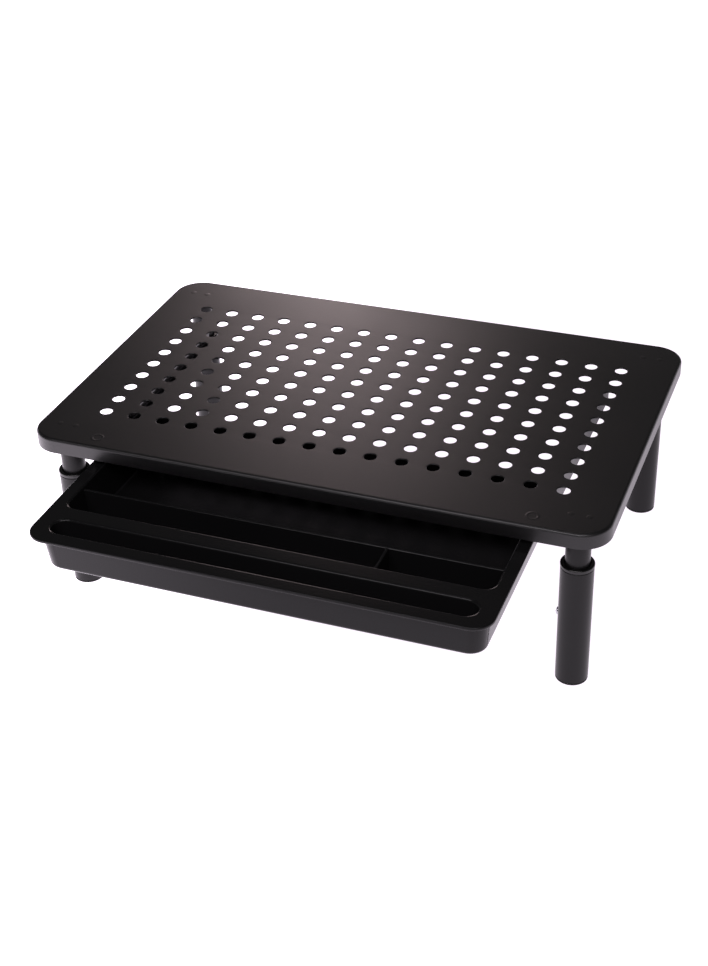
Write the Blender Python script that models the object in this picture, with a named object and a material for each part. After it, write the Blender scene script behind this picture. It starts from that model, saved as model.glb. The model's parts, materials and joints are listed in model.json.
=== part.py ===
# Monitor riser stand: a perforated steel platform on four telescopic legs, with a
# moulded drawer that slides in two rails under the platform.
#
# Metres, +Z up.  Everything is laid out from the middle of the platform, with the
# floor at z = 0, and hangs on one empty.  That empty is moved so that the middle of
# the stand's whole footprint, with the drawer pulled out, lies on the world origin.

import math

import bmesh
import bpy
from mathutils import Matrix, Vector

GAP = 0.0003                    # running and seating gap between neighbouring pieces
EDGE_STEPS = 3                  # facets in a quarter turn of a small edge radius
SMOOTH_ANGLE = math.radians(35) # round pieces stay sharp where they turn by more

# Platform: one pressed steel sheet with a turned-down rim
PLATE_WIDTH = 0.370
PLATE_DEPTH = 0.235
PLATE_SHEET = 0.0012
PLATE_RIM = 0.010
PLATE_EDGE_RADIUS = 0.002
PLATE_CORNER_RADIUS = 0.019
PLATE_CORNER_STEPS = 5
STAND_HEIGHT = 0.117            # middle of the three height settings

HOLE_DIAMETER = 0.008
HOLE_COLUMNS = 16
HOLE_ROWS = 10
HOLE_PITCH_X = 0.020
HOLE_PITCH_Y = 0.01675
HOLE_SIDES = 8

# Telescopic legs
LEG_INSET = 0.0197              # leg axis to the platform's edges
LEG_SIDES = 16
HEIGHT_STEP = 0.020             # spacing of the three settings
BASE_RADIUS = 0.015
BASE_THICKNESS = 0.0025
TUBE_RADIUS = 0.0075
TUBE_WALL = 0.0012
TUBE_LENGTH = 0.0810
SLEEVE_RADIUS = 0.010
SLEEVE_WALL = 0.0011
SLEEVE_TOP = 0.082
COLLAR_RADIUS = 0.0102
COLLAR_HEIGHT = 0.0025
COLLAR_SKIRT = 0.012
FOOT_RIM_RADIUS = 0.0099
FOOT_RIM_HEIGHT = 0.0012
FOOT_PLUG_HEIGHT = 0.0085
FOOT_PLUG_WALL = 0.002

# Snap button that locks a leg, and the folded strip spring behind it
BUTTON_HEIGHT = 0.047           # above the floor
BUTTON_RADIUS = 0.0025
BUTTON_TIP = 0.0115             # from the leg axis
BUTTON_SHOULDER_RADIUS = 0.0031
BUTTON_SHOULDER_IN = 0.0043     # shoulder's faces, from the leg axis
BUTTON_SHOULDER_OUT = 0.0051
BUTTON_HOLE_RADIUS = 0.0028
BUTTON_SIDES = 12
SPRING_STRIP = 0.0005
SPRING_WIDTH = 0.005
SPRING_BACK = 0.0052            # back arm, from the leg axis
SPRING_FOLD_RADIUS = 0.0011
SPRING_FOLD_STEPS = 4
SPRING_RISE = 0.018             # fold above the button
SPRING_TAIL = 0.006             # arms' ends below the button

# Drawer: one moulded tray, drawn as it stands pulled out
DRAWER_WIDTH = 0.284
DRAWER_DEPTH = 0.155
DRAWER_OUT = 0.0815             # how far its front stands before the platform's front
DRAWER_TOP = STAND_HEIGHT - 0.0145
DRAWER_FLANGE = 0.0023          # thickness of the flange round its top
DRAWER_BOTTOM = STAND_HEIGHT - 0.042
DRAWER_WALL = 0.0022
DRAWER_DRAFT = 0.0020           # walls lean in by this much over their height
DRAWER_CORNER_RADIUS = 0.013
DRAWER_CORNER_STEPS = 4
TUB_CORNER_RADIUS = 0.0100      # smallest corner radius under the flange
DRAWER_BOTTOM_RADIUS = 0.003
FLANGE_FRONT = 0.010            # flange's width, outer edge to the walls' inner face
FLANGE_SIDE = 0.0087
TUB_SIDE = 0.0042               # flange's outer edge to the tub's outer side
FLANGE_REAR = 0.0085
TROUGH_WIDTH = 0.014
TROUGH_RADIUS = 0.0064
TROUGH_INSET = 0.0115           # flange's outer edge to the trough's ends
LAND_WIDTH = 0.0125             # raised land behind the pen trough
NARROW_WIDTH = 0.0225           # narrow compartment behind the land
DIVIDER = 0.0018
DIVIDER_DROP = 0.0025           # divider's top below the flange's top
RIB_X = 0.0637                  # cross rib in the narrow compartment
BAY_RADIUS = 0.006
POCKET_STEPS = 3
EAR_REACH = 0.0014              # stop ears on the flange's sides
EAR_LENGTH = 0.005
EAR_FROM_REAR = 0.013

# Rails: two C channels under the platform, open towards the drawer
RAIL_SHEET = 0.001
RAIL_FRONT = 0.0125             # behind the platform's front edge
RAIL_LENGTH = 0.169
RAIL_SIDE_PLAY = 0.002          # beside the drawer's flange
RAIL_TOP_WIDTH = 0.0105
RAIL_LIP_WIDTH = 0.0065
STOP_LENGTH = 0.004
STOP_REACH = 0.0016
DRAWER_TRAVEL = 0.0815          # pulled out to closed

PLATE_UNDER = STAND_HEIGHT - PLATE_SHEET
LEG_X = PLATE_WIDTH / 2 - LEG_INSET
LEG_Y = PLATE_DEPTH / 2 - LEG_INSET
DRAWER_FRONT = -PLATE_DEPTH / 2 - DRAWER_OUT
DRAWER_REAR = DRAWER_FRONT + DRAWER_DEPTH
STAND_BACK = PLATE_DEPTH / 2
SHIFT_Y = -(DRAWER_FRONT + STAND_BACK) / 2

STEEL_BLACK = ((0.012, 0.012, 0.013), 0.45, 0.0)
PLASTIC_BLACK = ((0.010, 0.010, 0.011), 0.35, 0.0)
RUBBER_BLACK = ((0.006, 0.006, 0.006), 0.80, 0.0)
SPRING_STEEL = ((0.45, 0.46, 0.48), 0.30, 1.0)
BUTTON_STEEL = ((0.55, 0.56, 0.58), 0.25, 1.0)


def clear_scene():
    for old in list(bpy.data.objects):
        bpy.data.objects.remove(old, do_unlink=True)


def make_material(name, finish):
    colour, roughness, metallic = finish
    material = bpy.data.materials.new(name + "_material")
    material.use_nodes = True
    shader = material.node_tree.nodes["Principled BSDF"]
    shader.inputs["Base Color"].default_value = (*colour, 1.0)
    shader.inputs["Roughness"].default_value = roughness
    shader.inputs["Metallic"].default_value = metallic
    return material


def make_empty(name, location, parent=None):
    empty = bpy.data.objects.new(name, None)
    bpy.context.collection.objects.link(empty)
    empty.location = location
    empty.parent = parent
    return empty


def finish_mesh(bm, name):
    bmesh.ops.recalc_face_normals(bm, faces=bm.faces)
    mesh = bpy.data.meshes.new(name)
    bm.to_mesh(mesh)
    bm.free()
    return mesh


def make_object(name, mesh, finish, parent, location=(0, 0, 0), smooth=False):
    obj = bpy.data.objects.new(name, mesh)
    bpy.context.collection.objects.link(obj)
    obj.parent = parent
    obj.location = location
    if not mesh.materials:
        mesh.materials.append(make_material(name, finish))
    if smooth:
        mesh.shade_smooth()
        mesh.set_sharp_from_angle(angle=SMOOTH_ANGLE)
    return obj


def make_cutter(name, mesh, parent, location=(0, 0, 0)):
    cutter = bpy.data.objects.new(name, mesh)
    bpy.context.collection.objects.link(cutter)
    cutter.parent = parent
    cutter.location = location
    cutter.hide_render = True
    cutter.display_type = "WIRE"
    return cutter


def combine(obj, tool, operation):
    boolean = obj.modifiers.new(operation.lower() + "_" + tool.name, "BOOLEAN")
    boolean.object = tool
    boolean.operation = operation
    boolean.solver = "EXACT"


def rounded_rectangle(low, high, radius, steps):
    # Corner arcs anticlockwise from the low x, low y corner
    corners = [
        (low[0] + radius, low[1] + radius, math.pi),
        (high[0] - radius, low[1] + radius, 1.5 * math.pi),
        (high[0] - radius, high[1] - radius, 0.0),
        (low[0] + radius, high[1] - radius, 0.5 * math.pi),
    ]
    points = []
    for x, y, start in corners:
        for step in range(steps + 1):
            angle = start + 0.5 * math.pi * step / steps
            points.append((x + radius * math.cos(angle), y + radius * math.sin(angle)))
    return points


def loft(name, sections, steps):
    # sections: (low corner, high corner, corner radius, z), first to last
    bm = bmesh.new()
    rings = []
    for low, high, radius, z in sections:
        outline = rounded_rectangle(low, high, radius, steps)
        rings.append([bm.verts.new((x, y, z)) for x, y in outline])
    for upper, lower in zip(rings, rings[1:]):
        for i in range(len(upper)):
            j = (i + 1) % len(upper)
            bm.faces.new((upper[i], upper[j], lower[j], lower[i]))
    bm.faces.new(rings[0])
    bm.faces.new(rings[-1])
    return finish_mesh(bm, name)


def box(name, low, high):
    bm = bmesh.new()
    bmesh.ops.create_cube(bm, size=1.0)
    size = Vector(high) - Vector(low)
    middle = (Vector(high) + Vector(low)) / 2
    bmesh.ops.transform(bm, matrix=Matrix.Translation(middle) @ Matrix.Diagonal((*size, 1)), verts=bm.verts)
    return finish_mesh(bm, name)


def turned(name, profile, sides, ring=False):
    # profile: (radius, z) points; a ring's profile is closed, any other ends on the axis
    bm = bmesh.new()
    verts = [bm.verts.new((radius, 0, z)) for radius, z in profile]
    edges = [bm.edges.new(pair) for pair in zip(verts, verts[1:])]
    if ring:
        edges.append(bm.edges.new((verts[-1], verts[0])))
    bmesh.ops.spin(
        bm,
        geom=verts + edges,
        cent=(0, 0, 0),
        axis=(0, 0, 1),
        angle=math.tau,
        steps=sides,
        use_merge=True,
    )
    bmesh.ops.remove_doubles(bm, verts=bm.verts, dist=1e-6)
    return finish_mesh(bm, name)


def cross_cylinder(name, radius, start, end):
    # A cylinder along X
    bm = bmesh.new()
    place = Matrix.Translation(((start + end) / 2, 0, 0)) @ Matrix.Rotation(math.pi / 2, 4, "Y")
    bmesh.ops.create_cone(
        bm,
        cap_ends=True,
        segments=BUTTON_SIDES,
        radius1=radius,
        radius2=radius,
        depth=end - start,
        matrix=place,
    )
    return finish_mesh(bm, name)


def make_plate(stand):
    half = Vector((PLATE_WIDTH / 2, PLATE_DEPTH / 2))
    sections = []

    def add(inset, z):
        inner = half - Vector((inset, inset))
        sections.append((-inner, inner, PLATE_CORNER_RADIUS - inset, z))

    for step in range(EDGE_STEPS + 1):
        angle = 0.5 * math.pi * step / EDGE_STEPS
        drop = PLATE_EDGE_RADIUS * (1 - math.cos(angle))
        add(PLATE_EDGE_RADIUS * (1 - math.sin(angle)), STAND_HEIGHT - drop)
    add(0, STAND_HEIGHT - PLATE_RIM)
    add(PLATE_SHEET, STAND_HEIGHT - PLATE_RIM)
    inner_radius = PLATE_EDGE_RADIUS - PLATE_SHEET
    for step in range(EDGE_STEPS + 1):
        angle = 0.5 * math.pi * (1 - step / EDGE_STEPS)
        drop = inner_radius * (1 - math.cos(angle))
        add(PLATE_SHEET + inner_radius * (1 - math.sin(angle)), PLATE_UNDER - drop)
    mesh = loft("top_plate", sections, PLATE_CORNER_STEPS)
    plate = make_object("top_plate", mesh, STEEL_BLACK, stand, smooth=True)

    bm = bmesh.new()
    bmesh.ops.create_cone(
        bm,
        cap_ends=True,
        segments=HOLE_SIDES,
        radius1=HOLE_DIAMETER / 2,
        radius2=HOLE_DIAMETER / 2,
        depth=4 * PLATE_SHEET,
        matrix=Matrix.Rotation(math.pi / HOLE_SIDES, 4, "Z"),
    )
    start = (
        -HOLE_PITCH_X * (HOLE_COLUMNS - 1) / 2,
        -HOLE_PITCH_Y * (HOLE_ROWS - 1) / 2,
        STAND_HEIGHT - PLATE_SHEET / 2,
    )
    punches = make_cutter("hole_punches", finish_mesh(bm, "hole_punches"), stand, start)
    for count, offset in (
        (HOLE_COLUMNS, (HOLE_PITCH_X, 0, 0)),
        (HOLE_ROWS, (0, HOLE_PITCH_Y, 0)),
    ):
        array = punches.modifiers.new("array", "ARRAY")
        array.count = count
        array.use_relative_offset = False
        array.use_constant_offset = True
        array.constant_offset_displace = offset
    combine(plate, punches, "DIFFERENCE")


def make_rail(stand, side, name):
    flange_edge = DRAWER_WIDTH / 2
    inner = flange_edge + RAIL_SIDE_PLAY
    outer = inner + RAIL_SHEET
    top = PLATE_UNDER - GAP
    lip_top = DRAWER_TOP - DRAWER_FLANGE - GAP
    lip_bottom = lip_top - RAIL_SHEET
    front = -PLATE_DEPTH / 2 + RAIL_FRONT
    outline = [
        (outer, top),
        (outer, lip_bottom),
        (outer - RAIL_LIP_WIDTH, lip_bottom),
        (outer - RAIL_LIP_WIDTH, lip_top),
        (inner, lip_top),
        (inner, top - RAIL_SHEET),
        (outer - RAIL_TOP_WIDTH, top - RAIL_SHEET),
        (outer - RAIL_TOP_WIDTH, top),
    ]
    bm = bmesh.new()
    profile = bm.faces.new([bm.verts.new((side * x, front, z)) for x, z in outline])
    extruded = bmesh.ops.extrude_face_region(bm, geom=[profile], use_keep_orig=True)
    moved = [v for v in extruded["geom"] if isinstance(v, bmesh.types.BMVert)]
    bmesh.ops.translate(bm, verts=moved, vec=(0, RAIL_LENGTH, 0))
    rail = make_object(name, finish_mesh(bm, name), STEEL_BLACK, stand)

    # Two tabs pressed in from the web stop the drawer's ears at both ends of its travel
    ear_rear = DRAWER_REAR - EAR_FROM_REAR
    ear_front = ear_rear - EAR_LENGTH
    stop_starts = {
        "open_stop": ear_front - GAP - STOP_LENGTH,
        "closed_stop": ear_rear + DRAWER_TRAVEL + GAP,
    }
    for stop, start in stop_starts.items():
        near = side * (inner - STOP_REACH)
        far = side * (inner + RAIL_SHEET / 2)
        low = (min(near, far), start, lip_top + 4 * GAP)
        high = (max(near, far), start + STOP_LENGTH, top - RAIL_SHEET - 4 * GAP)
        tab_name = stop + "_of_" + name
        combine(rail, make_cutter(tab_name, box(tab_name, low, high), stand), "UNION")


def leg_base_mesh():
    bottom = PLATE_UNDER - GAP - BASE_THICKNESS
    chamfer = BASE_THICKNESS / 4
    profile = [
        (0, bottom),
        (BASE_RADIUS - chamfer, bottom),
        (BASE_RADIUS, bottom + chamfer),
        (BASE_RADIUS, bottom + BASE_THICKNESS),
        (0, bottom + BASE_THICKNESS),
    ]
    return turned("leg_base", profile, LEG_SIDES)


def leg_tube_mesh():
    top = PLATE_UNDER - 2 * GAP - BASE_THICKNESS
    inner = TUBE_RADIUS - TUBE_WALL
    profile = [
        (TUBE_RADIUS, top),
        (TUBE_RADIUS, top - TUBE_LENGTH),
        (inner, top - TUBE_LENGTH),
        (inner, top),
    ]
    return turned("leg_tube", profile, LEG_SIDES, ring=True)


def leg_sleeve_mesh():
    bottom = FOOT_RIM_HEIGHT + GAP
    inner = SLEEVE_RADIUS - SLEEVE_WALL
    roll = SLEEVE_WALL / 2
    profile = [
        (SLEEVE_RADIUS, SLEEVE_TOP - roll),
        (SLEEVE_RADIUS, bottom),
        (inner, bottom),
        (inner, SLEEVE_TOP),
        (SLEEVE_RADIUS - roll, SLEEVE_TOP),
    ]
    return turned("leg_sleeve", profile, LEG_SIDES, ring=True)


def collar_mesh():
    seat = SLEEVE_TOP + GAP
    top = seat + COLLAR_HEIGHT
    bore = TUBE_RADIUS + GAP
    skirt = SLEEVE_RADIUS - SLEEVE_WALL - GAP
    chamfer = COLLAR_HEIGHT / 3
    profile = [
        (bore, top),
        (COLLAR_RADIUS - chamfer, top),
        (COLLAR_RADIUS, top - chamfer),
        (COLLAR_RADIUS, seat + chamfer / 2),
        (COLLAR_RADIUS - chamfer / 2, seat),
        (skirt, seat),
        (skirt, seat - COLLAR_SKIRT),
        (bore, seat - COLLAR_SKIRT),
    ]
    return turned("leg_collar", profile, LEG_SIDES, ring=True)


def foot_cap_mesh():
    plug = SLEEVE_RADIUS - SLEEVE_WALL - GAP
    chamfer = FOOT_RIM_HEIGHT / 4
    profile = [
        (0, 0),
        (FOOT_RIM_RADIUS - chamfer, 0),
        (FOOT_RIM_RADIUS, chamfer),
        (FOOT_RIM_RADIUS, FOOT_RIM_HEIGHT),
        (plug, FOOT_RIM_HEIGHT),
        (plug, FOOT_PLUG_HEIGHT),
        (plug - FOOT_PLUG_WALL, FOOT_PLUG_HEIGHT),
        (plug - FOOT_PLUG_WALL, 2 * FOOT_RIM_HEIGHT),
        (0, 2 * FOOT_RIM_HEIGHT),
    ]
    return turned("foot_cap", profile, LEG_SIDES)


def button_mesh(inward):
    # Turned about Z, then laid along X so that its domed tip points inwards
    dome = BUTTON_RADIUS / 2
    profile = [
        (0, BUTTON_SHOULDER_IN),
        (BUTTON_SHOULDER_RADIUS, BUTTON_SHOULDER_IN),
        (BUTTON_SHOULDER_RADIUS, BUTTON_SHOULDER_OUT),
        (BUTTON_RADIUS, BUTTON_SHOULDER_OUT),
        (BUTTON_RADIUS, BUTTON_TIP - dome),
    ]
    for step in range(1, EDGE_STEPS):
        angle = 0.5 * math.pi * step / EDGE_STEPS
        profile.append((BUTTON_RADIUS * math.cos(angle), BUTTON_TIP - dome + dome * math.sin(angle)))
    profile.append((0, BUTTON_TIP))
    mesh = turned("snap_button", profile, BUTTON_SIDES)
    mesh.transform(Matrix.Rotation(inward * math.pi / 2, 4, "Y"))
    return mesh


def button_spring_mesh(inward):
    # A strip folded over at its top: the front arm bears on the button's shoulder, and
    # the back arm on the tube's far wall
    bearing = BUTTON_SHOULDER_IN - GAP - SPRING_STRIP / 2
    fold_x = -SPRING_BACK + SPRING_FOLD_RADIUS
    path = [(bearing, -SPRING_TAIL), (bearing, SPRING_TAIL)]
    for step in range(SPRING_FOLD_STEPS + 1):
        angle = math.pi * step / SPRING_FOLD_STEPS
        path.append(
            (
                fold_x + SPRING_FOLD_RADIUS * math.cos(angle),
                SPRING_RISE + SPRING_FOLD_RADIUS * math.sin(angle),
            )
        )
    path.append((-SPRING_BACK, -SPRING_TAIL))
    bm = bmesh.new()
    verts = [bm.verts.new((inward * x, -SPRING_WIDTH / 2, z)) for x, z in path]
    edges = [bm.edges.new(pair) for pair in zip(verts, verts[1:])]
    extruded = bmesh.ops.extrude_edge_only(bm, edges=edges)
    moved = [v for v in extruded["geom"] if isinstance(v, bmesh.types.BMVert)]
    bmesh.ops.translate(bm, verts=moved, vec=(0, SPRING_WIDTH, 0))
    mesh = bpy.data.meshes.new("button_spring")
    bm.to_mesh(mesh)
    bm.free()
    return mesh


def make_legs(stand):
    base = leg_base_mesh()
    tube = leg_tube_mesh()
    sleeve = leg_sleeve_mesh()
    collar = collar_mesh()
    foot = foot_cap_mesh()
    for side, side_name in ((-1, "left"), (1, "right")):
        inward = -side
        button = button_mesh(inward)
        spring = button_spring_mesh(inward)
        reach = 2 * SLEEVE_RADIUS
        punch = cross_cylinder("button_hole_" + side_name, BUTTON_HOLE_RADIUS, 0, inward * reach)
        for end, end_name in ((-1, "front"), (1, "back")):
            leg_name = end_name + "_" + side_name
            leg = make_empty("leg_" + leg_name, (side * LEG_X, end * LEG_Y, 0), stand)
            middle = (0, 0, BUTTON_HEIGHT)
            make_object("leg_base_" + leg_name, base, STEEL_BLACK, leg, smooth=True)
            tube_obj = make_object("leg_tube_" + leg_name, tube, STEEL_BLACK, leg, smooth=True)
            sleeve_obj = make_object("leg_sleeve_" + leg_name, sleeve, STEEL_BLACK, leg, smooth=True)
            make_object("leg_collar_" + leg_name, collar, PLASTIC_BLACK, leg, smooth=True)
            make_object("foot_cap_" + leg_name, foot, RUBBER_BLACK, leg, smooth=True)
            make_object("snap_button_" + leg_name, button, BUTTON_STEEL, leg, middle, smooth=True)
            clip = make_object("button_spring_" + leg_name, spring, SPRING_STEEL, leg, middle)
            thicken = clip.modifiers.new("strip_thickness", "SOLIDIFY")
            thicken.thickness = SPRING_STRIP
            thicken.offset = 0
            for setting in (-1, 0, 1):
                height = BUTTON_HEIGHT + setting * HEIGHT_STEP
                cutter_name = "button_hole_" + leg_name + "_" + str(setting + 2)
                cutter = make_cutter(cutter_name, punch, leg, (0, 0, height))
                combine(sleeve_obj, cutter, "DIFFERENCE")
                if setting == 0:
                    combine(tube_obj, cutter, "DIFFERENCE")


def drawer_shell_mesh():
    half_width = DRAWER_WIDTH / 2
    wall_bottom = DRAWER_BOTTOM + DRAWER_BOTTOM_RADIUS
    flange_under = DRAWER_TOP - DRAWER_FLANGE
    sections = []

    def add(side_inset, front_inset, rear_inset, z):
        low = (-half_width + side_inset, DRAWER_FRONT + front_inset)
        high = (half_width - side_inset, DRAWER_REAR - rear_inset)
        radius = max(DRAWER_CORNER_RADIUS - side_inset, TUB_CORNER_RADIUS)
        sections.append((low, high, radius, z))

    round_over = DRAWER_FLANGE / 4
    add(round_over, round_over, round_over, DRAWER_TOP)
    add(0, 0, 0, DRAWER_TOP - round_over)
    add(0, 0, 0, flange_under)
    front = FLANGE_FRONT - DRAWER_WALL
    rear = FLANGE_REAR - DRAWER_WALL
    add(TUB_SIDE, front, rear, flange_under)
    for step in range(EDGE_STEPS + 1):
        angle = 0.5 * math.pi * step / EDGE_STEPS
        lean = DRAWER_DRAFT + DRAWER_BOTTOM_RADIUS * (1 - math.cos(angle))
        drop = DRAWER_BOTTOM_RADIUS * math.sin(angle)
        add(TUB_SIDE + lean, front + lean, rear + lean, wall_bottom - drop)
    return loft("drawer_tray", sections, DRAWER_CORNER_STEPS)


def pocket_mesh(name, low, high, radius, bottom):
    # A tapered pocket, open at its top, with the same lean as the drawer's walls
    slope = DRAWER_DRAFT / (DRAWER_TOP - DRAWER_BOTTOM)
    sections = []
    for z in (DRAWER_TOP + 2 * DRAWER_FLANGE, bottom):
        inset = slope * (DRAWER_TOP - z)
        inner_low = (low[0] + inset, low[1] + inset)
        inner_high = (high[0] - inset, high[1] - inset)
        sections.append((inner_low, inner_high, radius - inset, z))
    return loft(name, sections, POCKET_STEPS)


def make_drawer(stand):
    drawer = make_object("drawer_tray", drawer_shell_mesh(), PLASTIC_BLACK, stand, smooth=True)
    floor = DRAWER_BOTTOM + DRAWER_WALL
    side = DRAWER_WIDTH / 2 - FLANGE_SIDE
    trough_front = DRAWER_FRONT + FLANGE_FRONT
    trough_rear = trough_front + TROUGH_WIDTH
    bay_front = trough_rear + LAND_WIDTH
    bay_rear = DRAWER_REAR - FLANGE_REAR
    divider_front = bay_front + NARROW_WIDTH

    trough_end = DRAWER_WIDTH / 2 - TROUGH_INSET
    trough = pocket_mesh(
        "trough_pocket",
        (-trough_end, trough_front),
        (trough_end, trough_rear),
        TROUGH_RADIUS,
        floor,
    )
    bay = pocket_mesh("bay_pocket", (-side, bay_front), (side, bay_rear), BAY_RADIUS, floor)
    # The land is hollow from below
    land_wall = DRAWER_WALL + DRAWER_DRAFT / 2
    land_end = side - DRAWER_WALL - DRAWER_DRAFT
    hollow = box(
        "land_hollow",
        (-land_end, trough_rear + land_wall, DRAWER_BOTTOM - DRAWER_WALL),
        (land_end, bay_front - land_wall, DRAWER_TOP - DRAWER_WALL),
    )
    for name, mesh in (("trough_pocket", trough), ("bay_pocket", bay), ("land_hollow", hollow)):
        combine(drawer, make_cutter(name, mesh, stand), "DIFFERENCE")

    root = DRAWER_WALL / 2          # how far the divider and rib run into floor and land
    divider_top = DRAWER_TOP - DIVIDER_DROP
    bottom = floor - root
    divider = box(
        "divider_rib",
        (-side, divider_front, bottom),
        (side, divider_front + DIVIDER, divider_top),
    )
    rib = box(
        "cross_rib",
        (RIB_X - DIVIDER / 2, bay_front - root, bottom),
        (RIB_X + DIVIDER / 2, divider_front + DIVIDER / 2, divider_top - GAP),
    )
    for name, mesh in (("divider_rib", divider), ("cross_rib", rib)):
        combine(drawer, make_cutter(name, mesh, stand), "UNION")

    ear_rear = DRAWER_REAR - EAR_FROM_REAR
    for sign, ear_name in ((-1, "left_ear"), (1, "right_ear")):
        near = sign * (DRAWER_WIDTH / 2 - EAR_REACH)
        far = sign * (DRAWER_WIDTH / 2 + EAR_REACH)
        low = (min(near, far), ear_rear - EAR_LENGTH, DRAWER_TOP - DRAWER_FLANGE + GAP / 2)
        high = (max(near, far), ear_rear, DRAWER_TOP - DRAWER_FLANGE / 4)
        combine(drawer, make_cutter(ear_name, box(ear_name, low, high), stand), "UNION")


def main():
    clear_scene()
    stand = make_empty("stand_origin", (0, SHIFT_Y, 0))
    make_plate(stand)
    make_rail(stand, -1, "drawer_rail_left")
    make_rail(stand, 1, "drawer_rail_right")
    make_legs(stand)
    make_drawer(stand)


main()
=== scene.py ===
import json
import math

import bmesh
import bpy
from mathutils import Matrix, Vector


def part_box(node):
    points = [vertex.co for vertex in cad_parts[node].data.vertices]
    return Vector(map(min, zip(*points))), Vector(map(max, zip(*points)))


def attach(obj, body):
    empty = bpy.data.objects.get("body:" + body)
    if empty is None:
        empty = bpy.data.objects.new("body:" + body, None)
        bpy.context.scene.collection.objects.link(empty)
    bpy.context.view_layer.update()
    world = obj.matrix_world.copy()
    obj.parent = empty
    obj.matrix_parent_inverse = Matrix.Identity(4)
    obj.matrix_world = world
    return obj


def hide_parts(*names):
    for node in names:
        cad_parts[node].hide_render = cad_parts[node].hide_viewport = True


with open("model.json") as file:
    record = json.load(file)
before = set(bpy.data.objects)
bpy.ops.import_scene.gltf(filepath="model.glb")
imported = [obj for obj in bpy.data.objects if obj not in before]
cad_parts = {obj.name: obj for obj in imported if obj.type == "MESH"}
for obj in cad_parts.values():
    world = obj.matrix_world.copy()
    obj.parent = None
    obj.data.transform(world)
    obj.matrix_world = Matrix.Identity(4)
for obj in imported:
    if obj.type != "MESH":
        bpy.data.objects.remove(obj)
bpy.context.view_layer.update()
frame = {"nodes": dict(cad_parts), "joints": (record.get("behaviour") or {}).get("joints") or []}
print("frame loaded:", len(frame["nodes"]), "nodes")

legNames = [end + "_" + side for end in ("front", "back") for side in ("left", "right")]
bendAngle = math.radians(35)  # edges sharper than this stay crisp
hair = 0.00005  # keeps two surfaces from lying exactly in one plane
weld = 1e-6  # vertices this close become one


def blockShape(low, high, radius=0.0, segments=8):
    # a box whose four upright edges may be rounded
    low, high = Vector(low), Vector(high)
    bm = bmesh.new()
    bmesh.ops.create_cube(bm, size=1.0)
    bmesh.ops.scale(bm, vec=high - low, verts=bm.verts)
    bmesh.ops.translate(bm, vec=(low + high) / 2, verts=bm.verts)
    if radius:
        upright = [e for e in bm.edges if abs(e.verts[0].co.z - e.verts[1].co.z) > hair]
        bevelEdges(bm, upright, radius, segments)
    return bm


def bevelEdges(bm, edges, width, segments, affect="EDGES"):
    bmesh.ops.bevel(bm, geom=edges, offset=width, offset_type="OFFSET", segments=segments,
                    profile=0.5, affect=affect, clamp_overlap=True, material=-1)


def levelFace(bm, height):
    # the widest flat face at this height
    level = [f for f in bm.faces if all(abs(v.co.z - height) < hair / 5 for v in f.verts)]
    return max(level, key=lambda f: f.calc_area())


def drawFace(bm, face, steps):
    # draws a level face down by steps of (inwards, down) from where it starts
    xs, ys = [v.co.x for v in face.verts], [v.co.y for v in face.verts]
    width, depth = max(xs) - min(xs), max(ys) - min(ys)
    middle = Vector(((max(xs) + min(xs)) / 2, (max(ys) + min(ys)) / 2, 0))
    doneIn, doneDown = 0.0, 0.0
    for inwards, down in steps:
        face = bmesh.ops.extrude_discrete_faces(bm, faces=[face])["faces"][0]
        bmesh.ops.translate(bm, vec=(0, 0, doneDown - down), verts=face.verts)
        narrower = (width - 2 * inwards) / (width - 2 * doneIn)
        shallower = (depth - 2 * inwards) / (depth - 2 * doneIn)
        bmesh.ops.scale(bm, vec=(narrower, shallower, 1), verts=face.verts,
                        space=Matrix.Translation(-middle))
        doneIn, doneDown = inwards, down
    return face


def arc(radius, steps):
    # points of a quarter turn as (sine part, one minus cosine part)
    angles = [math.pi / 2 * i / steps for i in range(steps + 1)]
    return [(radius * math.sin(a), radius * (1 - math.cos(a))) for a in angles]


def turnProfile(profile, segments, ring):
    # spins (radius, height) points round the upright axis
    bm = bmesh.new()
    verts = [bm.verts.new((radius, 0, height)) for radius, height in profile]
    edges = [bm.edges.new(pair) for pair in zip(verts, verts[1:])]
    if ring:
        edges.append(bm.edges.new((verts[-1], verts[0])))
    bmesh.ops.spin(bm, geom=verts + edges, cent=(0, 0, 0), axis=(0, 0, 1),
                   angle=math.tau, steps=segments, use_merge=True)
    bmesh.ops.remove_doubles(bm, verts=bm.verts, dist=weld)
    bmesh.ops.recalc_face_normals(bm, faces=bm.faces)
    return bm


def roundedProfile(corners, radii, steps=4):
    # an outline for turning, its corners rounded by one radius each
    bm = bmesh.new()
    verts = [bm.verts.new((x, 0, z)) for x, z in corners]
    face = bm.faces.new(verts)
    for vert, radius in zip(verts, radii):
        if radius:
            bevelEdges(bm, [vert], radius, steps, "VERTICES")
    bm.faces.ensure_lookup_table()
    face = bm.faces[0]
    points = [(v.co.x, v.co.z) for v in face.verts]
    bm.free()
    return points


def meshFrom(bm, name, material=None):
    mesh = bpy.data.meshes.new(name)
    bm.to_mesh(mesh)
    bm.free()
    if material:
        mesh.materials.append(material)
    return mesh


def addObject(name, mesh):
    obj = bpy.data.objects.new(name, mesh)
    bpy.context.scene.collection.objects.link(obj)
    return obj


def joinShape(piece, bm, operation):
    # cuts a shape out of a piece, or joins it on
    tool = addObject(piece.name + "Tool", meshFrom(bm, piece.name + "Tool"))
    boolean = piece.modifiers.new(operation.lower(), "BOOLEAN")
    boolean.object = tool
    boolean.operation = operation
    boolean.solver = "EXACT"
    bakeModifiers(piece)
    bpy.data.objects.remove(tool, do_unlink=True)


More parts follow.
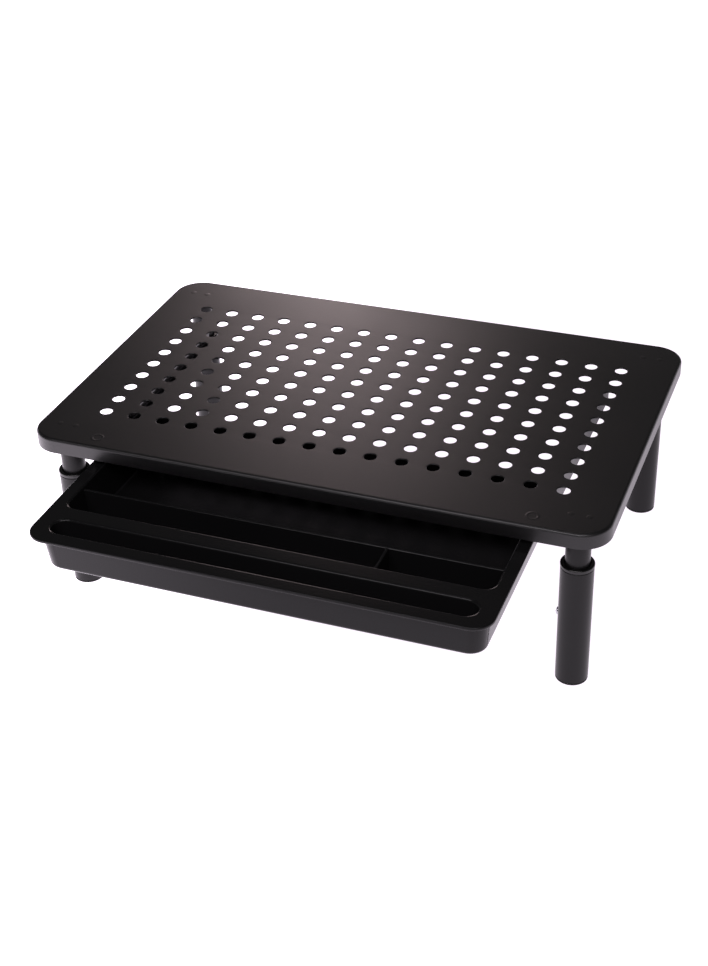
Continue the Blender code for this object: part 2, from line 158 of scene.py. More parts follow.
def bakeModifiers(piece):
    graph = bpy.context.evaluated_depsgraph_get()
    graph.update()
    mesh = bpy.data.meshes.new_from_object(piece.evaluated_get(graph))
    piece.modifiers.clear()
    piece.data = mesh


def finishPiece(piece, body, replaced, weighted=True):
    # shading, then the piece's place in the frame
    piece.data.shade_smooth()
    piece.data.set_sharp_from_angle(angle=bendAngle)
    if weighted:
        normals = piece.modifiers.new("flatFacesStayFlat", "WEIGHTED_NORMAL")
        normals.keep_sharp = True
        bakeModifiers(piece)
    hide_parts(*replaced)
    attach(piece, body)


class Socket:
    # a node's output, with Python's arithmetic on it
    def __init__(self, tree, output=None):
        self.tree = tree
        self.output = output

    def node(self, kind, settings, sockets, output=0):
        made = self.tree.nodes.new(kind)
        for name, value in settings.items():
            if name == "stops":
                fillRamp(made.color_ramp, value)
            else:
                setattr(made, name, value)
        for name, value in sockets.items():
            if isinstance(value, Socket):
                self.tree.links.new(value.output, made.inputs[name])
            else:
                made.inputs[name].default_value = value
        return Socket(self.tree, made.outputs[output])

    def maths(self, operation, first, second=0.0):
        return self.node("ShaderNodeMath", {"operation": operation}, {0: first, 1: second})

    def __add__(self, other):
        return self.maths("ADD", self, other)

    def __radd__(self, other):
        return self.maths("ADD", other, self)

    def __sub__(self, other):
        return self.maths("SUBTRACT", self, other)

    def __rsub__(self, other):
        return self.maths("SUBTRACT", other, self)

    def __mul__(self, other):
        return self.maths("MULTIPLY", self, other)

    def __rmul__(self, other):
        return self.maths("MULTIPLY", other, self)

    def __truediv__(self, other):
        return self.maths("DIVIDE", self, other)

    def __pow__(self, other):
        return self.maths("POWER", self, other)

    def __abs__(self):
        return self.maths("ABSOLUTE", self)

    def above(self, edge, soft):
        # 0 below edge, 1 above edge + soft
        return self.node("ShaderNodeMapRange", {"interpolation_type": "SMOOTHSTEP"},
                         {"Value": self, "From Min": edge, "From Max": edge + soft})


def fillRamp(ramp, stops):
    while len(ramp.elements) < len(stops):
        ramp.elements.new(0.5)
    for element, (position, grey) in zip(ramp.elements, stops):
        element.position = position
        element.color = (grey, grey, grey, 1)


def startMaterial(name):
    material = bpy.data.materials.new(name)
    material.use_nodes = True
    tree = material.node_tree
    return material, Socket(tree), tree.nodes["Principled BSDF"]


def plug(start, shader, name, value):
    if isinstance(value, Socket):
        start.tree.links.new(value.output, shader.inputs[name])
    else:
        shader.inputs[name].default_value = value


def objectPoint(start):
    return start.node("ShaderNodeTexCoord", {}, {}, "Object")


def noise(start, point, scale, detail=2.0, roughness=0.5):
    return start.node("ShaderNodeTexNoise", {}, {"Vector": point, "Scale": scale, "Detail": detail,
                                                 "Roughness": roughness})


def cells(start, point, scale):
    return start.node("ShaderNodeTexVoronoi", {}, {"Vector": point, "Scale": scale})


def blend(start, mask, first, second):
    return start.node("ShaderNodeMix", {"data_type": "RGBA"}, {0: mask, 6: first, 7: second}, 2)


def bump(start, height, distance, strength=1.0, normal=None):
    sockets = {"Height": height, "Distance": distance, "Strength": strength}
    if normal:
        sockets["Normal"] = normal
    return start.node("ShaderNodeBump", {}, sockets, "Normal")


powderCoat = {
    "platform": {"dark": (0.0050, 0.0050, 0.0054, 1), "light": (0.0075, 0.0070, 0.0073, 1),
                 "roughness": 0.35, "specular": 0.5},
    "leg": {"dark": (0.0090, 0.0090, 0.0094, 1), "light": (0.0125, 0.0120, 0.0123, 1),
            "roughness": 0.30, "specular": 0.21},
    "peelScale": 620,  # orange peel, in bumps a metre
    "peelDepth": 0.000020,
    "speckScale": 2600,
    "speckDepth": 0.000004,
    "patchScale": 14,
    "roughnessSpread": 0.09,
}


def makePowderCoat(name, finish, marks=None):
    material, start, shader = startMaterial(name)
    point = objectPoint(start)
    patches = noise(start, point, powderCoat["patchScale"], 3)
    peel = noise(start, point, powderCoat["peelScale"], 2)
    specks = noise(start, point, powderCoat["speckScale"], 1)
    plug(start, shader, "Base Color", blend(start, patches, finish["dark"], finish["light"]))
    spread = powderCoat["roughnessSpread"]
    roughness = finish["roughness"] - spread / 2 + patches * spread + (specks - 0.5) * (spread / 2)
    plug(start, shader, "Roughness", roughness)
    plug(start, shader, "Specular IOR Level", finish["specular"])
    normal = bump(start, specks, powderCoat["speckDepth"])
    normal = bump(start, peel, powderCoat["peelDepth"], normal=normal)
    if marks:
        normal = bump(start, marks(start, point), weldMarks["depth"], normal=normal)
    plug(start, shader, "Normal", normal)
    return material


weldMarks = {"ringRadius": 0.0034, "ringWidth": 0.0011, "dotRadius": 0.0016, "depth": 0.000085,
             "ringFromEdge": 0.0110, "dotSpread": 0.0055}


def weldMarkHeight(start, point):
    # faint rings over the rails' welds and dots over the legs' welds
    parts = start.node("ShaderNodeSeparateXYZ", {}, {0: point}, "X")
    across = abs(parts)
    deep = Socket(start.tree, parts.output.node.outputs["Y"])
    railLow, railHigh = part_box("drawer_rail_right")
    ringX = (railLow.x + railHigh.x) / 2
    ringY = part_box("top_plate")[0].y + weldMarks["ringFromEdge"]
    away = ((across - ringX) ** 2 + (deep - ringY) ** 2) ** 0.5
    ring = 1 - abs(away - weldMarks["ringRadius"]).above(0, weldMarks["ringWidth"])
    height = ring
    for end in ("front", "back"):
        centre = boxCentre("leg_base_" + end + "_right")
        for offset in (-1, 1):
            x = centre.x + offset * weldMarks["dotSpread"]
            away = ((across - x) ** 2 + (deep - centre.y) ** 2) ** 0.5
            height = height + (1 - away.above(weldMarks["dotRadius"] / 2, weldMarks["dotRadius"]))
    return height


mouldedPlastic = {
    "dark": (0.0058, 0.0058, 0.0062, 1),
    "light": (0.0085, 0.0084, 0.0086, 1),
    "roughness": 0.18,
    "patchRoughness": 0.10,
    "grainRoughness": 0.06,
    "specular": 0.18,
    "patchScale": 9,
    "grainScale": 1900,
    "fineScale": 3230,
    "fineShare": 0.6,
    "grainDepth": 0.000007,
}


def makeMouldedPlastic(name):
    material, start, shader = startMaterial(name)
    plastic = mouldedPlastic
    point = objectPoint(start)
    patches = noise(start, point, plastic["patchScale"], 2)
    grain = cells(start, point, plastic["grainScale"])
    fine = noise(start, point, plastic["fineScale"], 2)
    plug(start, shader, "Base Color", blend(start, patches, plastic["dark"], plastic["light"]))
    plug(start, shader, "Specular IOR Level", plastic["specular"])
    uneven = (patches - 0.5) * plastic["patchRoughness"] + (fine - 0.5) * plastic["grainRoughness"]
    plug(start, shader, "Roughness", plastic["roughness"] + uneven)
    plug(start, shader, "Normal", bump(start, grain + fine * plastic["fineShare"], plastic["grainDepth"]))
    return material


glossPlastic = {
    "dark": (0.003, 0.003, 0.003, 1),
    "light": (0.006, 0.006, 0.006, 1),
    "patchScale": 180,
    "roughness": 0.18,
    "patchRoughness": 0.12,
    "rippleScale": 1400,
    "rippleDepth": 0.000004,
}


def makeGlossPlastic(name):
    material, start, shader = startMaterial(name)
    point = objectPoint(start)
    patches = noise(start, point, glossPlastic["patchScale"], 3)
    ripples = noise(start, point, glossPlastic["rippleScale"], 2)
    plug(start, shader, "Base Color", blend(start, patches, glossPlastic["dark"], glossPlastic["light"]))
    plug(start, shader, "Roughness", glossPlastic["roughness"] + patches * glossPlastic["patchRoughness"])
    plug(start, shader, "Normal", bump(start, ripples, glossPlastic["rippleDepth"]))
    return material


rubber = {
    "dark": (0.004, 0.004, 0.004, 1),
    "light": (0.011, 0.011, 0.010, 1),
    "dustScale": 260,
    "roughness": 0.62,
    "dustRoughness": 0.25,
    "poreScale": 1500,
    "poreDepth": 0.000014,
}


def makeRubber(name):
    material, start, shader = startMaterial(name)
    point = objectPoint(start)
    dust = noise(start, point, rubber["dustScale"], 4)
    pores = cells(start, point, rubber["poreScale"])
    plug(start, shader, "Base Color", blend(start, dust, rubber["dark"], rubber["light"]))
    plug(start, shader, "Roughness", rubber["roughness"] + dust * rubber["dustRoughness"])
    plug(start, shader, "Normal", bump(start, pores, rubber["poreDepth"]))
    return material


steel = {
    "button": {"dark": (0.50, 0.51, 0.53, 1), "light": (0.625, 0.6375, 0.6625, 1), "roughness": 0.26},
    "spring": {"dark": (0.30, 0.31, 0.34, 1), "light": (0.375, 0.3875, 0.425, 1), "roughness": 0.34},
    "lineScale": 60,
    "lineStretch": 12,  # across the grain
    "lineRoughness": 0.18,
    "lineDepth": 0.000005,
    "stainScale": 220,
}


def makeSteel(name, finish):
    material, start, shader = startMaterial(name)
    point = objectPoint(start)
    stretch = steel["lineStretch"]
    stretched = start.node("ShaderNodeMapping", {}, {"Vector": point, "Scale": (1, stretch, stretch)})
    lines = noise(start, stretched, steel["lineScale"], 3)
    stains = noise(start, point, steel["stainScale"], 3)
    plug(start, shader, "Base Color", blend(start, stains, finish["dark"], finish["light"]))
    plug(start, shader, "Metallic", 1.0)
    plug(start, shader, "Roughness", finish["roughness"] + (lines - 0.5) * steel["lineRoughness"])
    plug(start, shader, "Normal", bump(start, lines, steel["lineDepth"]))
    return material


def boxCentre(node):
    low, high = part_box(node)
    return (low + high) / 2


materials = {
    "platform": makePowderCoat("platformPowderCoat", powderCoat["platform"], weldMarkHeight),
    "steel": makePowderCoat("rollFormedPowderCoat", powderCoat["platform"]),
    "leg": makePowderCoat("legPowderCoat", powderCoat["leg"]),
    "drawer": makeMouldedPlastic("mouldedBlackPlastic"),
    "collar": makeGlossPlastic("glossBlackPlastic"),
    "rubber": makeRubber("mattBlackRubber"),
    "button": makeSteel("platedButtonSteel", steel["button"]),
    "spring": makeSteel("blueSpringSteel", steel["spring"]),
}
print("materials made:", len(materials))


platform = {
    "sheet": 0.0012,
    "cornerRadius": 0.019,
    "cornerSteps": 14,
    "edgeRadius": 0.002,
    "edgeSteps": 5,
    "holeDiameter": 0.008,
    "holeSides": 24,
    "columns": 16,
    "rows": 10,
    "pitchX": 0.020,
    "pitchY": 0.01675,
    "lipRadius": 0.0005,  # sheet drawn down round each hole
    "lipSteps": 3,
}


def punchedHole(bm, centre, top):
    # one drawn lip, spun round the hole's axis
    lip = platform["lipRadius"]
    outer = platform["holeDiameter"] / 2 + lip
    profile = [(outer - inwards, -down) for inwards, down in arc(lip, platform["lipSteps"])]
    verts = [bm.verts.new((centre[0] + radius, centre[1], top + drop)) for radius, drop in profile]
    edges = [bm.edges.new(pair) for pair in zip(verts, verts[1:])]
    bmesh.ops.spin(bm, geom=verts + edges, cent=(*centre, top), axis=(0, 0, 1),
                   angle=math.tau, steps=platform["holeSides"], use_merge=True)


def buildPlatform():
    low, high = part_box("top_plate")
    centre = (low + high) / 2
    bm = blockShape(low, high, platform["cornerRadius"], platform["cornerSteps"])
    bmesh.ops.delete(bm, geom=[levelFace(bm, low.z)], context="FACES_ONLY")
    top = levelFace(bm, high.z)
    bevelEdges(bm, list(top.edges), platform["edgeRadius"], platform["edgeSteps"])
    bmesh.ops.delete(bm, geom=[levelFace(bm, high.z)], context="FACES_ONLY")
    for column in range(platform["columns"]):
        for row in range(platform["rows"]):
            x = centre.x + (column - (platform["columns"] - 1) / 2) * platform["pitchX"]
            y = centre.y + (row - (platform["rows"] - 1) / 2) * platform["pitchY"]
            punchedHole(bm, (x, y), high.z)
    bmesh.ops.remove_doubles(bm, verts=bm.verts, dist=weld)
    rim = [e for e in bm.edges if len(e.link_faces) == 1
           and all(abs(v.co.z - high.z) < hair / 5 for v in e.verts)]
    fillScale = 1000  # the fill misjudges millimetres, so it works on metres
    bmesh.ops.scale(bm, vec=[fillScale] * 3, verts=bm.verts)
    bmesh.ops.triangle_fill(bm, edges=rim, use_beauty=True, use_dissolve=False, normal=(0, 0, 1))
    bmesh.ops.scale(bm, vec=[1 / fillScale] * 3, verts=bm.verts)
    bmesh.ops.recalc_face_normals(bm, faces=bm.faces)
    if levelFace(bm, high.z).normal.z < 0:
        bmesh.ops.reverse_faces(bm, faces=bm.faces)
    piece = addObject("platformSheet", meshFrom(bm, "platformSheet", materials["platform"]))
    thicken = piece.modifiers.new("sheet", "SOLIDIFY")
    thicken.thickness = platform["sheet"]
    thicken.offset = -1
    thicken.use_even_offset = True
    bakeModifiers(piece)
    finishPiece(piece, "platform", ["top_plate"])
    return piece


buildPlatform()
print("platform made")


drawer = {
    "flange": 0.0023,
    "flangeEdge": 0.0008,
    "cornerRadius": 0.013,
    "wall": 0.0022,
    "draft": 0.0020,
    "tubRadius": 0.010,
    "bottomRadius": 0.003,
    "front": 0.010,  # flange's outer edge to the walls' inner face
    "side": 0.0087,
    "tubSide": 0.0042,  # flange's outer edge to the side walls' outer face
    "rear": 0.0085,
    "trough": 0.014,
    "troughRadius": 0.0063636,
    "troughInset": 0.0115,
    "land": 0.0125,
    "narrow": 0.0225,
    "divider": 0.0018,
    "dividerDrop": 0.0025,
    "crossRib": 0.0637,
    "pocketRadius": 0.006,
    "lip": 0.0016,  # rounding of the pockets' top edges
    "fillet": 0.0018,  # rounding of the pockets' floors
    "hollowRadius": 0.002,
    "earReach": 0.0014,
    "earLength": 0.005,
    "earFromRear": 0.013,
    "earRadius": 0.0008,
}


def pocketShape(low, high, top, floor, radius):
    # a cutting shape that leaves a rounded lip, leaning walls and a rounded floor
    lip, fillet = drawer["lip"], drawer["fillet"]
    grow = Vector((lip, lip))
    bm = blockShape((*(Vector(low) - grow), top), (*(Vector(high) + grow), top + 2 * lip), radius + lip)
    steps = arc(lip, 4)[1:]
    depth = top - floor
    lean = drawer["draft"] * depth / (drawer["bottomRadius"] + depth)
    steps.append((lip + lean, depth - fillet))
    for along, inwards in arc(fillet, 4)[1:]:
        steps.append((lip + lean + inwards, depth - fillet + along))
    drawFace(bm, levelFace(bm, top), steps)
    bmesh.ops.recalc_face_normals(bm, faces=bm.faces)
    return bm


def buildDrawer():
    low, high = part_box("drawer_tray")
    reach = drawer["earReach"]
    left, right = low.x + reach, high.x - reach
    front, rear, top, bottom = low.y, high.y, high.z, low.z
    under = top - drawer["flange"]
    bm = blockShape((left, front, under), (right, rear, top), drawer["cornerRadius"], 10)
    rims = list(levelFace(bm, top).edges) + list(levelFace(bm, under).edges)
    bevelEdges(bm, rims, drawer["flangeEdge"], 3)
    piece = addObject("drawerTray", meshFrom(bm, "drawerTray", materials["drawer"]))

    # the tub hangs from inside the flange
    sideIn = drawer["tubSide"]
    frontIn, rearIn = [drawer[name] - drawer["wall"] for name in ("front", "rear")]
    root = drawer["flange"] / 2
    tub = blockShape((left + sideIn, front + frontIn, under),
                     (right - sideIn, rear - rearIn, under + root), drawer["tubRadius"])
    fall = under - bottom - drawer["bottomRadius"]
    steps = [(drawer["draft"], fall)]
    for along, inwards in arc(drawer["bottomRadius"], 5)[1:]:
        steps.append((drawer["draft"] + inwards, fall + along))
    drawFace(tub, levelFace(tub, under), steps)
    bmesh.ops.recalc_face_normals(tub, faces=tub.faces)
    joinShape(piece, tub, "UNION")

    floor = bottom + drawer["wall"]
    pocketLeft, pocketRight = left + drawer["side"], right - drawer["side"]
    troughFront = front + drawer["front"]
    troughRear = troughFront + drawer["trough"]
    bayFront = troughRear + drawer["land"]
    bayRear = rear - drawer["rear"]
    dividerFront = bayFront + drawer["narrow"]
    troughEnd = drawer["troughInset"]
    pockets = [((left + troughEnd, troughFront), (right - troughEnd, troughRear), drawer["troughRadius"]),
               ((pocketLeft, bayFront), (pocketRight, bayRear), drawer["pocketRadius"])]
    for pocketLow, pocketHigh, radius in pockets:
        joinShape(piece, pocketShape(pocketLow, pocketHigh, top, floor, radius), "DIFFERENCE")
    landWall = drawer["wall"] + drawer["draft"] / 2
    landEnd = drawer["wall"] + drawer["draft"]
    hollow = blockShape((pocketLeft + landEnd, troughRear + landWall, bottom - drawer["wall"]),
                        (pocketRight - landEnd, bayFront - landWall, top - drawer["wall"]),
                        drawer["hollowRadius"], 4)
    joinShape(piece, hollow, "DIFFERENCE")

    root = drawer["wall"] / 2
    dividerTop = top - drawer["dividerDrop"]
    half = drawer["divider"] / 2
    ribs = [
        ((pocketLeft, dividerFront), (pocketRight, dividerFront + 2 * half), dividerTop),
        ((drawer["crossRib"] - half, bayFront - root), (drawer["crossRib"] + half, dividerFront + half),
         dividerTop - 2 * hair),
    ]
    for ribLow, ribHigh, ribTop in ribs:
        rib = blockShape((*ribLow, floor - root), (*ribHigh, ribTop))
        along = 0 if ribHigh[0] - ribLow[0] > ribHigh[1] - ribLow[1] else 1
        edges = [e for e in levelFace(rib, ribTop).edges
                 if abs(e.verts[0].co[along] - e.verts[1].co[along]) > hair]
        bevelEdges(rib, edges, half * 0.7, 3)
        joinShape(piece, rib, "UNION")
    earRear = rear - drawer["earFromRear"]
    for sign in (-1, 1):
        side = left if sign < 0 else right
        xs = sorted((side - sign * reach, side + sign * reach))
        ear = blockShape((xs[0], earRear - drawer["earLength"], under + 3 * hair),
                         (xs[1], earRear, top - drawer["flange"] / 4), drawer["earRadius"], 3)
        joinShape(piece, ear, "UNION")
    finishPiece(piece, "drawer", ["drawer_tray"])
    return piece


buildDrawer()
print("drawer made")


rail = {"sheet": 0.001, "bend": 0.0012, "bendSteps": 4, "lip": 0.0065, "top": 0.0105,
        "stopLength": 0.004, "stopReach": 0.0016, "stopRadius": 0.0006, "gap": 0.0003}


def buildRail(side):
    node = "drawer_rail_" + side
    low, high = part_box(node)
    sign = 1 if side == "right" else -1
    half = rail["sheet"] / 2
    web = (high.x - half) if sign > 0 else (low.x + half)
    bm = bmesh.new()
    corners = [(web - sign * (rail["top"] - half), high.z - half), (web, high.z - half),
               (web, low.z + half), (web - sign * (rail["lip"] - half), low.z + half)]
    verts = [bm.verts.new((x, low.y, z)) for x, z in corners]
    for pair in zip(verts, verts[1:]):
        bm.edges.new(pair)
    bevelEdges(bm, verts[1:3], rail["bend"], rail["bendSteps"], "VERTICES")
    grown = bmesh.ops.extrude_edge_only(bm, edges=bm.edges)
    bmesh.ops.translate(bm, vec=(0, high.y - low.y, 0),
                        verts=[v for v in grown["geom"] if isinstance(v, bmesh.types.BMVert)])
    name = "rail" + side.capitalize()
    piece = addObject(name, meshFrom(bm, name, materials["steel"]))
    thicken = piece.modifiers.new("sheet", "SOLIDIFY")
    thicken.thickness = rail["sheet"]
    thicken.offset = 0
    bakeModifiers(piece)
    fixNormals(piece)
    # stop tabs pressed in from the web, as the CAD rail has them
    drawerLow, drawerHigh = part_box("drawer_tray")
    travel = -[j for j in frame["joints"] if j["name"] == "drawer_slide"][0]["range_m"][0]
    earRear = drawerHigh.y - drawer["earFromRear"]
    gap = rail["gap"]
    starts = (earRear - drawer["earLength"] - gap - rail["stopLength"], earRear + travel + gap)
    for start in starts:
        xs = sorted((web - sign * (half + rail["stopReach"]), web))
        tab = blockShape((xs[0], start, low.z + rail["sheet"] + 4 * gap),
                         (xs[1], start + rail["stopLength"], high.z - rail["sheet"] - 4 * gap),
                         rail["stopRadius"], 3)
        joinShape(piece, tab, "UNION")
    finishPiece(piece, "platform", [node])
    return piece


def fixNormals(piece):
    bm = bmesh.new()
    bm.from_mesh(piece.data)
    bmesh.ops.recalc_face_normals(bm, faces=bm.faces)
    bm.to_mesh(piece.data)
    bm.free()


for side in ("left", "right"):
    buildRail(side)
print("rails made")


leg = {
    "sides": 72,
    "baseEdge": 0.0007,
    "bead": 0.0016,  # weld round the tube's top
    "tubeWall": 0.0012,
    "tubeRound": 0.0003,
    "sleeveWall": 0.0011,
    "sleeveRoll": 0.0005,
    "sleeveRound": 0.0002,
    "collarWall": 0.0008,
    "collarRound": 0.0008,
    "footRim": 0.0012,
    "footRound": 0.0003,
    "footWall": 0.002,
    "heightStep": 0.020,
    "holeRadius": 0.0028,
    "holeSides": 32,
    "gap": 0.0003,
}
snapButton = {"stem": 0.0025, "shoulder": 0.0031, "shoulderHeight": 0.0008, "domeSteps": 8}


def crossRod(radius, start, end, height, sides):
    # a rod along X, for cutting the button's holes
    bm = bmesh.new()
    place = Matrix.Translation(((start + end) / 2, 0, height)) @ Matrix.Rotation(math.pi / 2, 4, "Y")
    bmesh.ops.create_cone(bm, cap_ends=True, segments=sides, radius1=radius, radius2=radius,
                          depth=abs(end - start), matrix=place)
    return bm


def turnedPiece(name, profile, ring, material):
    bm = turnProfile(profile, leg["sides"], ring)
    return addObject(name, meshFrom(bm, name, materials[material]))


def settle(piece, place, body, replaced):
    piece.data.transform(Matrix.Translation(place))
    finishPiece(piece, body, replaced)


def buildLeg(legName):
    words = legName.split("_")
    tail = "".join(word.capitalize() for word in words)
    inward = 1 if words[1] == "left" else -1
    axis = boxCentre("leg_tube_" + legName)
    place = Vector((axis.x, axis.y, 0))
    body = "lower_leg_" + legName
    gap = leg["gap"]

    # welded base disc with the weld bead round the tube
    low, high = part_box("leg_base_" + legName)
    radius = (high.x - low.x) / 2
    tubeLow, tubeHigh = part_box("leg_tube_" + legName)
    tubeRadius = (tubeHigh.x - tubeLow.x) / 2
    bead = leg["bead"]
    profile = [(0, low.z), (tubeRadius + gap, low.z), (tubeRadius + gap, low.z - bead)]
    profile += [(tubeRadius + gap + bead * 0.45, low.z - bead * 0.75), (tubeRadius + gap + bead, low.z)]
    edge = leg["baseEdge"]
    profile += [(radius - edge + inwards, low.z + down) for inwards, down in arc(edge, 4)]
    profile += [(radius, high.z), (0, high.z)]
    settle(turnedPiece("legBase" + tail, profile, False, "steel"), place, "platform",
           ["leg_base_" + legName])

    # fixed tube with the button's hole
    inner = tubeRadius - leg["tubeWall"]
    corners = [(tubeRadius, tubeHigh.z), (tubeRadius, tubeLow.z), (inner, tubeLow.z), (inner, tubeHigh.z)]
    soft = leg["tubeRound"]
    tube = turnedPiece("legTube" + tail, roundedProfile(corners, [0, soft, soft, 0]), True, "leg")
    buttonHeight = boxCentre("snap_button_" + legName).z
    rodEnd = inward * 0.02
    joinShape(tube, crossRod(leg["holeRadius"], 0, rodEnd, buttonHeight, leg["holeSides"]), "DIFFERENCE")
    settle(tube, place, "platform", ["leg_tube_" + legName])

    # sliding sleeve with a rolled top edge and three locking holes
    low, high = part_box("leg_sleeve_" + legName)
    radius = (high.x - low.x) / 2
    inner = radius - leg["sleeveWall"]
    corners = [(radius, high.z), (radius, low.z), (inner, low.z), (inner, high.z)]
    soft = leg["sleeveRound"]
    profile = roundedProfile(corners, [leg["sleeveRoll"], soft, soft, soft * 1.5])
    sleeve = turnedPiece("legSleeve" + tail, profile, True, "leg")
    for setting in (-1, 0, 1):
        height = buttonHeight + setting * leg["heightStep"]
        joinShape(sleeve, crossRod(leg["holeRadius"], 0, rodEnd, height, leg["holeSides"]), "DIFFERENCE")
    settle(sleeve, place, body, ["leg_sleeve_" + legName])
    sleeveTop, sleeveBottom = high.z, low.z

    # collar: a bush with a rounded head on the sleeve's top edge
    low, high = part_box("leg_collar_" + legName)
    head = (high.x - low.x) / 2
    seat = sleeveTop + gap
    bore = tubeRadius + gap
    skirt = bore + leg["collarWall"]
    soft = leg["collarRound"]
    corners = [(bore, high.z), (head, high.z), (head, seat), (skirt, seat), (skirt, low.z), (bore, low.z)]
    profile = roundedProfile(corners, [0.0003, soft, soft * 0.6, 0, 0.0002, 0.0002])
    collar = turnedPiece("legCollar" + tail, profile, True, "collar")
    settle(collar, place, body, ["leg_collar_" + legName])

    # foot cap: a plug with a thin rim that the leg stands on
    low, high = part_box("foot_cap_" + legName)
    rim = (high.x - low.x) / 2
    plugRadius = inner - gap
    rimTop = sleeveBottom - gap
    well = plugRadius - leg["footWall"]
    profile = [(0, low.z)]
    soft = leg["footRound"]
    profile += [(rim - soft + inwards, low.z + down) for inwards, down in arc(soft, 3)]
    profile += [(rim, rimTop), (plugRadius, rimTop), (plugRadius, high.z), (well, high.z)]
    profile += [(well, low.z + 2 * leg["footRim"]), (0, low.z + 2 * leg["footRim"])]
    settle(turnedPiece("footCap" + tail, profile, False, "rubber"), place, body,
           ["foot_cap_" + legName])

    # snap button, turned upright and laid over so that its dome points inwards
    low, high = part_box("snap_button_" + legName)
    far = max(abs(low.x - place.x), abs(high.x - place.x))
    near = min(abs(low.x - place.x), abs(high.x - place.x))
    stem, shoulder = snapButton["stem"], snapButton["shoulder"]
    shoulderEnd = near + snapButton["shoulderHeight"]
    profile = [(0, near), (shoulder, near), (shoulder, shoulderEnd), (stem, shoulderEnd)]
    dome = stem / 2
    for step in range(snapButton["domeSteps"]):
        angle = math.pi / 2 * step / snapButton["domeSteps"]
        profile.append((stem * math.cos(angle), far - dome + dome * math.sin(angle)))
    profile.append((0, far))
    button = turnedPiece("snapButton" + tail, profile, False, "button")
    button.data.transform(Matrix.Rotation(inward * math.pi / 2, 4, "Y"))
    settle(button, Vector((place.x, place.y, buttonHeight)), "button_" + legName,
           ["snap_button_" + legName])

    spring = frame["nodes"]["button_spring_" + legName]
    spring.data.materials.clear()
    spring.data.materials.append(materials["spring"])


for legName in legNames:
    buildLeg(legName)
print("legs made:", len(legNames))


studio = {
    "floorSize": 12.0,
    "floorGrey": 0.30,
    "floorGlow": (1.10, 1.0, 1.12),  # a lit table, so that hardly any shadow shows
    "floorGlowLeft": 2.3,  # times as bright on the left, for the sheen of the drawer's front
    "floorFade": 0.26,  # the glow falls off over this much, left of the stand's middle
    "floorRoughness": 0.9,
    "horizonGlow": 0.30,
    "horizonTop": 0.10,  # as the sine of the height in the sky
    "skyStart": 0.30,
    "skyGlow": 0.07,
}


def buildFloor():
    bm = bmesh.new()
    bmesh.ops.create_grid(bm, x_segments=1, y_segments=1, size=studio["floorSize"] / 2)
    material, start, shader = startMaterial("paleFloor")
    grey = studio["floorGrey"]
    plug(start, shader, "Base Color", (grey, grey, grey, 1))
    plug(start, shader, "Roughness", studio["floorRoughness"])
    plug(start, shader, "Specular IOR Level", 0.0)
    across = start.node("ShaderNodeSeparateXYZ", {}, {0: objectPoint(start)}, "X")
    fade = studio["floorFade"]
    gain = studio["floorGlowLeft"] - (studio["floorGlowLeft"] - 1) * across.above(-fade, fade)
    channels = {name: gain * glow for name, glow in zip(("Red", "Green", "Blue"), studio["floorGlow"])}
    plug(start, shader, "Emission Color", start.node("ShaderNodeCombineColor", {}, channels))
    plug(start, shader, "Emission Strength", 1.0)
    floor = addObject("floor", meshFrom(bm, "floor", material))


def buildWorld():
    world = bpy.data.worlds.new("studio")
    world.use_nodes = True
    bpy.context.scene.world = world
    start = Socket(world.node_tree)
    direction = start.node("ShaderNodeTexCoord", {}, {}, "Generated")
    height = start.node("ShaderNodeSeparateXYZ", {}, {0: direction}, "Z")
    stops = [(0.0, studio["horizonGlow"]), (studio["horizonTop"], studio["horizonGlow"]),
             (studio["skyStart"], studio["skyGlow"]), (1.0, studio["skyGlow"])]
    glow = start.node("ShaderNodeValToRGB", {"stops": stops}, {0: height})
    background = world.node_tree.nodes["Background"]
    plug(start, background, "Color", glow)


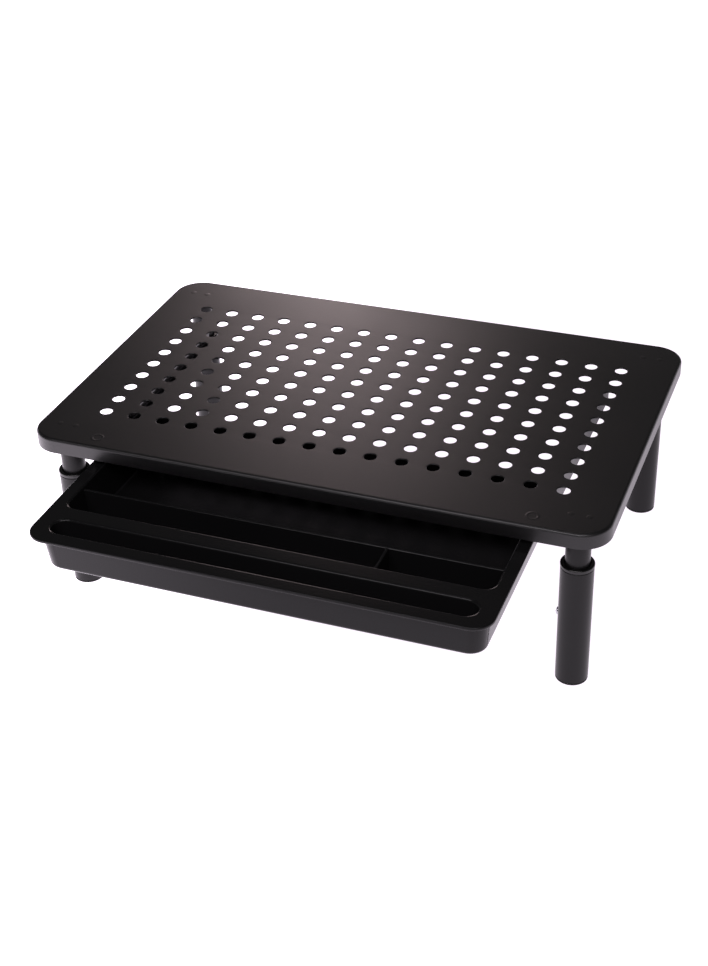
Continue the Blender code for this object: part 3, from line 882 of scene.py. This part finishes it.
# azimuth from straight behind the stand towards its right, elevation and distance to its top
lamps = {
    "behind": {"azimuth": -22.5, "elevation": 20, "distance": 3.0, "size": (0.42, 0.75), "glow": 5.6,
               "tint": (1.08, 0.88, 0.90)},
    "overhead": {"azimuth": 0, "elevation": 86, "distance": 1.9, "size": (0.9, 0.7), "glow": 0.9,
                 "tint": (1.0, 0.93, 1.0)},
    "front": {"azimuth": 175, "elevation": 46, "distance": 2.4, "size": (2.4, 0.7), "glow": 5.5,
              "tint": (1.0, 0.94, 1.0)},
}


def buildLamps():
    # a square metre that glows like the white floor gives pi watts
    top = Vector((0, boxCentre("top_plate").y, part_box("top_plate")[1].z))
    for name, lamp in lamps.items():
        data = bpy.data.lights.new(name, "AREA")
        data.shape = "RECTANGLE"
        data.size, data.size_y = lamp["size"]
        data.energy = lamp["glow"] * math.pi * data.size * data.size_y
        data.color = lamp["tint"]
        obj = addObject(name, data)
        azimuth, elevation = math.radians(lamp["azimuth"]), math.radians(lamp["elevation"])
        aim = Vector((math.sin(azimuth) * math.cos(elevation), math.cos(azimuth) * math.cos(elevation),
                      math.sin(elevation)))
        obj.location = top + aim * lamp["distance"]
        obj.rotation_euler = (-aim).to_track_quat("-Z", "Y").to_euler()


view = {
    "lens": 59.4,
    "azimuth": 21.74,  # degrees, from straight ahead towards the stand's right
    "elevation": 32.45,
    "roll": 2.01,
    "distance": 0.9814,
    "aim": (0.0172, -0.0299, 0.100),
    "shift": -0.0106,
}


def buildCamera():
    data = bpy.data.cameras.new("camera")
    camera = addObject("camera", data)
    bpy.context.scene.camera = camera
    data.lens = view["lens"]
    data.shift_y = view["shift"]
    data.clip_start, data.clip_end = 0.01, 50
    azimuth, elevation = math.radians(view["azimuth"]), math.radians(view["elevation"])
    back = Vector((math.sin(azimuth) * math.cos(elevation), -math.cos(azimuth) * math.cos(elevation),
                   math.sin(elevation)))
    camera.location = Vector(view["aim"]) + back * view["distance"]
    level = (-back).to_track_quat("-Z", "Y").to_matrix()
    camera.rotation_euler = (level @ Matrix.Rotation(math.radians(-view["roll"]), 3, "Z")).to_euler()


buildFloor()
buildWorld()
buildLamps()
buildCamera()
bpy.context.scene.view_settings.view_transform = "Standard"
print("studio made")
